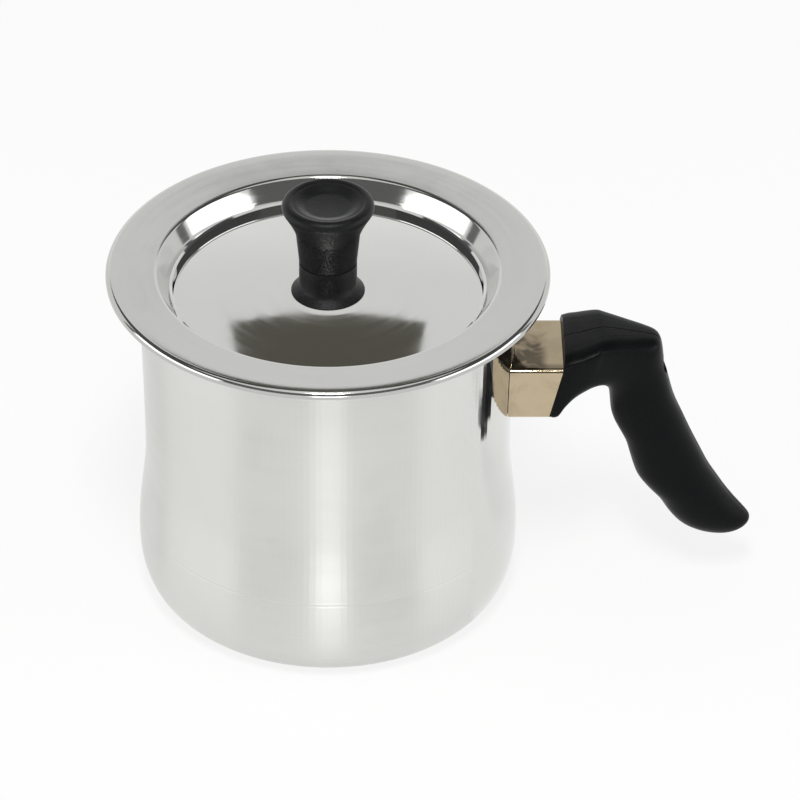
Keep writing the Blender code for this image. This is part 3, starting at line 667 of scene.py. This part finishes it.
def moulded(name, colour, roughness, skin_depth, skin_size, speckle, gloss=0.14, groove_and_painted_shade=None):
    """Moulded black: a fine skin, pale filler specks and worn, slightly duller patches.

    A groove of (axis, place, half width, depth) is a fine line round the piece, sunk by a bump,
    and painted black without gloss as painted shade.
    """
    made = bpy.data.materials.new(name)
    made.use_nodes = True
    tree = made.node_tree
    shader = tree.nodes["Principled BSDF"]
    place = node(tree, "TexCoord").outputs["Object"]
    speck = node(tree, "TexNoise", {"Vector": place, "Scale": 2600.0, "Detail": 2.0,
                                    "Roughness": 0.6}).outputs["Fac"]
    shade = node(tree, "Mix", {"Factor": ramp(tree, speck, 0.56, 0.74), "A": (*colour, 1.0),
                               "B": (*[c + speckle for c in colour], 1.0)},
                 data_type="RGBA").outputs["Result"]
    wiped = node(tree, "Group", {"Size": 45.0}, node_tree=marks_group).outputs["Smudge"]
    rough = reckon(tree, "MULTIPLY_ADD", wiped, 0.10, roughness)
    skin = node(tree, "TexNoise", {"Vector": place, "Scale": skin_size, "Detail": 3.0,
                                   "Roughness": 0.6}).outputs["Fac"]
    bump = node(tree, "Bump", {"Height": skin, "Strength": 1.0, "Distance": skin_depth})
    if groove_and_painted_shade:
        axis, middle, half_width, depth = groove_and_painted_shade
        side = node(tree, "SeparateXYZ", {"Vector": place}).outputs[axis]
        away = reckon(tree, "ABSOLUTE", reckon(tree, "SUBTRACT", side, middle))
        outside = ramp(tree, away, half_width * 0.4, half_width)
        inside = ramp(tree, away, half_width * 0.4, half_width, 1.0, 0.0)
        bump = node(tree, "Bump", {"Height": outside, "Strength": 1.0, "Distance": depth,
                                   "Normal": bump.outputs["Normal"]})
        rough = reckon(tree, "MAXIMUM", rough, inside)
        # Painted shade: the colour goes to black inside the line, and the roughness goes to full.
        shade = node(tree, "VectorMath", {0: shade, "Scale": outside}, operation="SCALE").outputs[0]
    tree.links.new(shade, shader.inputs["Base Color"])
    tree.links.new(rough, shader.inputs["Roughness"])
    tree.links.new(bump.outputs["Normal"], shader.inputs["Normal"])
    shader.inputs["Specular IOR Level"].default_value = gloss
    return made


rubber_finish = moulded("heat_gasket_rubber", (0.008, 0.008, 0.008), 0.72, 0.00004, 1500.0, 0.006)
redress("duct_gasket", rubber_finish)


# Grip: one black phenolic moulding, boxed where it meets the duct's leaning end and oval in the
# hand. A fine parting line runs along its middle, a shallow channel painted black as painted shade,
# and a stepped bore goes through its head.
grip_reach = 0.0897
grip_drop = 0.07285
grip_head = 0.0318
grip_half_width = 0.02055
grip_crown = 0.0015
grip_squareness = 7.0
ring_points = 64
rings_per_station = 3
tip_dome = 0.0009
dome_lifts = (0.3, 0.6, 0.85, 0.97)
bolt_level = 0.11095
bore_points = 96
bore_radius = 0.0035
bore_start = 0.085
bore_into_well = 0.004
well_radius = 0.0043
well_end = 0.2
grip_arris = 0.0003
parting_depth = 0.00020
parting_half_width = 0.00042

# Places along the grip, each of the upper and rear line with one of the lower and front line, as
# shares of the reach and of the head's height above the lip or the drop below it.
upper_line_shares = (
    (0.062, 0.975), (0.094, 1.006), (0.134, 1.025), (0.177, 1.060), (0.230, 1.100), (0.257, 1.105),
    (0.320, 1.077), (0.387, 1.035), (0.454, 0.997), (0.512, 0.946), (0.534, 0.827), (0.546, 0.585),
    (0.573, 0.266), (0.603, -0.017), (0.648, -0.149), (0.695, -0.283), (0.741, -0.403), (0.788, -0.524),
    (0.840, -0.628), (0.888, -0.720), (0.936, -0.798), (0.978, -0.858), (1.002, -0.904),
    (0.985, -0.951), (0.927, -0.986))
lower_line_shares = (
    (0.000, 0.000), (0.030, 0.009), (0.058, 0.118), (0.101, 0.215), (0.159, 0.285), (0.208, 0.313),
    (0.247, 0.292), (0.271, 0.227), (0.283, 0.122), (0.288, 0.011), (0.292, -0.043), (0.298, -0.105),
    (0.315, -0.173), (0.343, -0.242), (0.374, -0.320), (0.394, -0.405), (0.413, -0.487),
    (0.438, -0.569), (0.489, -0.654), (0.545, -0.732), (0.592, -0.827), (0.653, -0.918),
    (0.732, -0.975), (0.805, -0.997), (0.844, -1.000))
half_width_shares = (
    1.000, 0.998, 0.978, 0.939, 0.876, 0.798, 0.695, 0.623, 0.569, 0.535, 0.520, 0.520, 0.535, 0.555,
    0.574, 0.580, 0.580, 0.575, 0.566, 0.546, 0.517, 0.470, 0.393, 0.287, 0.163)
upper_squareness_shares = (
    1.80, 1.70, 1.60, 1.50, 1.40, 1.30, 1.12, 0.85, 0.62, 0.46, 0.38, 0.35, 0.33, 0.32, 0.32, 0.32,
    0.32, 0.32, 0.32, 0.32, 0.32, 0.31, 0.30, 0.30, 0.30)
lower_squareness_shares = (
    2.00, 1.80, 1.20, 0.70, 0.52, 0.45, 0.42, 0.40, 0.38, 0.36, 0.34, 0.33, 0.32, 0.32, 0.32, 0.32,
    0.32, 0.32, 0.32, 0.32, 0.32, 0.31, 0.30, 0.30, 0.30)


def grip_place(along, up):
    """X and Z of a place on the grip's middle plane."""
    return face_foot.x + along * grip_reach, face_foot.z + up * (grip_head if up > 0 else grip_drop)


def through(values, at):
    """A smooth curve through evenly spaced values."""
    last = len(values) - 1
    left = min(int(at), last - 1)
    share = at - left
    before, start = values[max(left - 1, 0)], values[left]
    end, after = values[left + 1], values[min(left + 2, last)]
    rise, fall = (end - before) / 2, (after - start) / 2
    square = share * share
    cube = square * share
    return ((2 * cube - 3 * square + 1) * start + (cube - 2 * square + share) * rise
            + (3 * square - 2 * cube) * end + (cube - square) * fall)


upper_line = [grip_place(*pair) for pair in upper_line_shares]
lower_line = [grip_place(*pair) for pair in lower_line_shares]


def grip_section(at):
    """One cross-section of the grip, as places round it."""
    top = Vector([through([p[axis] for p in upper_line], at) for axis in (0, 1)])
    bottom = Vector([through([p[axis] for p in lower_line], at) for axis in (0, 1)])
    width = through(half_width_shares, at) * grip_half_width
    squares = through(lower_squareness_shares, at), through(upper_squareness_shares, at)
    middle, half = (top + bottom) / 2, (top - bottom) / 2
    places = []
    for k in range(ring_points):
        angle = 2 * math.pi * (k + 0.5) / ring_points
        square = squares[math.sin(angle) > 0]
        power = 2 / (grip_squareness * square)
        across = math.copysign(abs(math.cos(angle)) ** power, math.cos(angle))
        up = math.copysign(abs(math.sin(angle)) ** power, math.sin(angle))
        sunk = grip_crown * square * across * across * max(up, 0.0)
        spot = middle + half * up - half.normalized() * sunk
        places.append(Vector((spot.x, across * width, spot.y)))
    return places


def add_ring(places):
    """A ring of edges through places."""
    bpy.ops.object.select_all(action="DESELECT")
    bpy.ops.mesh.primitive_circle_add(vertices=len(places), radius=grip_half_width)
    ring = bpy.context.object
    for vertex, place in zip(ring.data.vertices, places):
        vertex.co = place
    return ring


stations = len(upper_line_shares) - 1
sections = [grip_section(k / rings_per_station) for k in range(stations * rings_per_station + 1)]
end_section = sections[-1]
last_middle = sum(end_section, Vector()) / ring_points
before_middle = sum(sections[-2], Vector()) / ring_points
onward = (last_middle - before_middle).normalized()
for lift in dome_lifts:
    keep = math.sqrt(1 - lift * lift)
    sections.append([last_middle + (place - last_middle) * keep + onward * tip_dome * lift
                     for place in end_section])
rings = [add_ring(section) for section in sections]
bpy.ops.object.select_all(action="DESELECT")
for ring in rings:
    ring.select_set(True)
grip = rings[0]
bpy.context.view_layer.objects.active = grip
bpy.ops.object.join()
grip.name = grip.data.name = "moulded_grip"
bpy.ops.object.mode_set(mode="EDIT")
bpy.ops.mesh.select_all(action="SELECT")
bpy.ops.mesh.bridge_edge_loops()
bpy.ops.object.mode_set(mode="OBJECT")
finer = grip.modifiers.new("finer", "SUBSURF")
finer.levels = finer.render_levels = 1
bpy.ops.object.modifier_apply(modifier=finer.name)
close_holes()


def rod_along_x(name, radius, start, end):
    """A rod on the bolt's axis, used to bore the grip."""
    bpy.ops.object.select_all(action="DESELECT")
    bpy.ops.mesh.primitive_cylinder_add(vertices=bore_points, radius=radius, depth=end - start,
                                        location=((start + end) / 2, 0.0, bolt_level),
                                        rotation=(0.0, math.pi / 2, 0.0))
    rod = bpy.context.object
    rod.name = rod.data.name = name
    bpy.ops.object.transform_apply(location=True, rotation=True, scale=True)
    return rod


well_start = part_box("bolt_washer")[0][0] - duct_gap
carve(grip, rod_along_x("bore", bore_radius, bore_start, well_start + bore_into_well))
carve(grip, rod_along_x("well", well_radius, well_start, well_end))
soften(grip, grip_arris, angle=50.0)
# Painted shade: the parting line is painted black.
grip_finish = moulded("black_phenolic", (0.0022, 0.0026, 0.0030), 0.32, 0.000060, 1500.0, 0.007,
                      gloss=0.09, groove_and_painted_shade=("Y", 0.0, parting_half_width, parting_depth))
dress(grip, grip_finish, "pot", "phenolic", "handle_grip")


# Hollow bolt, its washer and the whistle: turned brass parts in the grip's stepped bore. Water goes
# in and steam comes out through them, and the whistle pulls out of the well at the rear.
def turned_along_x(name, outline, x):
    """A turned ring on the bolt's axis, from a closed outline of (radius, place along X)."""
    made = turned(name, outline + [outline[0]], ring_points)
    bpy.ops.object.select_all(action="DESELECT")
    made.select_set(True)
    bpy.context.view_layer.objects.active = made
    made.rotation_euler = (0.0, math.pi / 2, 0.0)
    made.location = (x, 0.0, bolt_level)
    bpy.ops.object.transform_apply(location=True, rotation=True, scale=True)
    bpy.ops.object.mode_set(mode="EDIT")
    bpy.ops.mesh.select_all(action="SELECT")
    bpy.ops.mesh.normals_make_consistent(inside=False)
    bpy.ops.object.mode_set(mode="OBJECT")
    return made


brass_finish = steel("turned_brass", (0.60, 0.42, 0.17), 0.24, 0.000006, smudge=0.15, darkening=0.3)
redress("hollow_bolt", brass_finish)
redress("bolt_washer", plain_finish)

whistle_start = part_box("whistle_body")[0][0]
whistle_length = 0.0072
whistle_collar = 0.004
whistle_body_radius = 0.0029
whistle_bore = 0.0021
whistle_arris = 0.0002
collar_start = whistle_length - 0.0009
whistle = turned_along_x("whistle_body_turned", [
    (whistle_bore, whistle_length - whistle_arris), (whistle_bore + whistle_arris, whistle_length),
    (whistle_collar - whistle_arris, whistle_length), (whistle_collar, whistle_length - whistle_arris),
    (whistle_collar, collar_start), (whistle_body_radius, collar_start),
    (whistle_body_radius, 0.0), (whistle_bore, 0.0)], whistle_start)
smooth(whistle)
dress(whistle, brass_finish, "whistle", "brass", "whistle_body")
sleeve_low, sleeve_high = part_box("whistle_sleeve")
sleeve_bore = 0.0032
sleeve_end_radius, rib_radius, rib_foot_radius = 0.0038, 0.0040, 0.0037
ribs = 4
rib_run = (sleeve_high[0] - sleeve_low[0]) / ribs
sleeve_outline = [(sleeve_bore, sleeve_high[0]), (sleeve_end_radius, sleeve_high[0])]
for k in range(ribs):
    top = sleeve_high[0] - k * rib_run
    sleeve_outline += [(rib_radius, top - rib_run * 0.25), (rib_radius, top - rib_run * 0.5),
                       (rib_foot_radius, top - rib_run * 0.85)]
sleeve_outline += [(rib_foot_radius, sleeve_low[0]), (sleeve_bore, sleeve_low[0])]
sleeve = turned_along_x("whistle_sleeve_ribbed", sleeve_outline, 0.0)
smooth(sleeve)
sleeve_finish = moulded("whistle_rubber", (0.010, 0.010, 0.010), 0.68, 0.00002, 1800.0, 0.006)
dress(sleeve, sleeve_finish, "whistle", "seal_rubber", "whistle_sleeve")
redress("whistle_disc", brass_finish)


# Lid: pressed stainless steel with a slightly domed floor, an upright wall and a flared edge that
# sits in the conical mouth. It lifts off, and a low round seat carries the knob.
lid_level = 0.1461
lid_seat = 0.1485
lid_sheet = 0.0008
lid_wall_radius = 0.0666
lid_lean = 0.0002
lid_corner = 0.0006
lid_edge_level = 0.1521
lid_edge_gap = 0.0006
lid_flare = 0.0006
lid_hole = 0.0028
dome_steps = 24
knob_seat_radius = 0.0173
knob_seat_edge = 0.001
lid_rim = lid_wall_radius - lid_lean - lid_corner
lid_edge_share = (rim_level - lid_edge_level - rim_dish) / (mouth_depth - rim_dish)
lid_edge_radius = (mouth_radius + (vessel_radius - mouth_radius) * lid_edge_share - lid_sheet
                   - lid_edge_gap)
lid_side = [(lid_edge_radius, lid_edge_level), (lid_wall_radius, lid_edge_level - lid_flare)]
lid_side += flat_run(lid_side[-1], (lid_wall_radius - lid_lean, lid_level + lid_corner), 3)
lid_side += arc((lid_rim, lid_level + lid_corner), lid_corner, 0, -90, 6)
lid_finish = steel("polished_lid_steel", (0.585, 0.585, 0.57), 0.035, 0.000001, smudge=0.03)
lid_wall = pressed("lid_wall", lid_side, lid_sheet)
dress(lid_wall, lid_finish, "lid", "lid_steel", "lid_disc", mirrored=False)
lid_side = [lid_side[-1]]
for k in range(1, dome_steps):
    radius = lid_rim + (knob_seat_radius - lid_rim) * k / dome_steps
    fall = (radius ** 2 - knob_seat_radius ** 2) / (lid_rim ** 2 - knob_seat_radius ** 2)
    lid_side.append((radius, lid_seat - (lid_seat - lid_level) * fall))
lid_side += [(knob_seat_radius, lid_seat), (knob_seat_radius - knob_seat_edge, lid_seat),
             (lid_hole, lid_seat)]
lid = pressed("lid_floor", lid_side, lid_sheet)
dress(lid, lid_finish, "lid", "lid_steel", "lid_disc")


# Knob: two black mouldings on one screw. The foot flares out on the lid, and the mushroom head has
# a dished top. A fine seam shows between them, painted black as painted shade.
foot_level = 0.1488
foot_radius = 0.0158
foot_edge = 0.0006
foot_arris = 0.0002
flare_power = 1.3
flare_steps = 12
flare_level = foot_level + 0.004
stem_radius = 0.0124
knob_seam = 0.1646
knob_bore = 0.0028
knob_steps = 128
seam_round = 0.0002
seam_gap = 0.0006
foot_side = [(knob_bore, foot_level), (foot_radius - foot_arris, foot_level),
             (foot_radius, foot_level + foot_arris)]
for k in range(flare_steps + 1):
    share = 1 - k / flare_steps
    foot_side.append((stem_radius + (foot_radius - stem_radius) * share ** flare_power,
                      flare_level - (flare_level - foot_level - foot_edge) * share))
foot_side += flat_run(foot_side[-1], (stem_radius, knob_seam - seam_gap - seam_round), 4)
foot_side += arc((stem_radius - seam_round, knob_seam - seam_gap - seam_round), seam_round, 0, 90, 4)
foot_side += [(knob_bore, knob_seam - seam_gap), (knob_bore, foot_level)]
foot = turned("knob_foot_moulding", foot_side, knob_steps)
smooth(foot)
# Painted shade: a black band with no bump is painted over the seam between foot and head.
knob_finish = moulded("knob_phenolic", (0.0030, 0.0033, 0.0037), 0.36, 0.000220, 1300.0, 0.013,
                      gloss=0.20, groove_and_painted_shade=("Z", knob_seam - seam_gap / 2, seam_gap, 0.0))
dress(foot, knob_finish, "lid", "phenolic", "knob_foot", mirrored=False)

head_radius = 0.0197
throat_radius = 0.0137
throat_power = 1.3
lip_radius = 0.0029
dish_floor = 0.0086
dish_middle = 0.001
dish_depth = 0.0026
head_steps = 14
knob_top = 0.1944
neck_top = knob_seam + 0.0135
pocket_radius = 0.0045
pocket_top = knob_seam + 0.0113
dish_level = knob_top - dish_depth
lip_arc = arc((head_radius - lip_radius, knob_top - lip_radius), lip_radius, 125, -30, 20)
head_side = [(dish_middle, dish_level)]
bowl = lip_arc[0]
for k in range(1, head_steps):
    share = k / head_steps
    swing = (1 - math.cos(math.pi * share)) / 2
    head_side.append((dish_floor + (bowl[0] - dish_floor) * share,
                      dish_level + (bowl[1] - dish_level) * swing))
head_side += lip_arc
start = head_side[-1]
for k in range(1, head_steps + 1):
    share = k / head_steps
    swing = (1 - share) ** throat_power
    head_side.append((throat_radius + (start[0] - throat_radius) * swing,
                      start[1] + (neck_top - start[1]) * share))
head_side += flat_run(head_side[-1], (stem_radius, knob_seam + seam_round), 6)
head_side += arc((stem_radius - seam_round, knob_seam + seam_round), seam_round, 0, -90, 4)
head_side += [(pocket_radius, knob_seam), (pocket_radius, pocket_top), (0.0, pocket_top)]
head = turned("knob_head_moulding", head_side, knob_steps)
close_holes()
smooth(head)
dress(head, knob_finish, "lid", "phenolic", "knob_head", mirrored=False)
redress("knob_insert", brass_finish, mirrored=False)
redress("knob_screw", plain_finish, mirrored=False)
redress("lid_washer", plain_finish, mirrored=False)
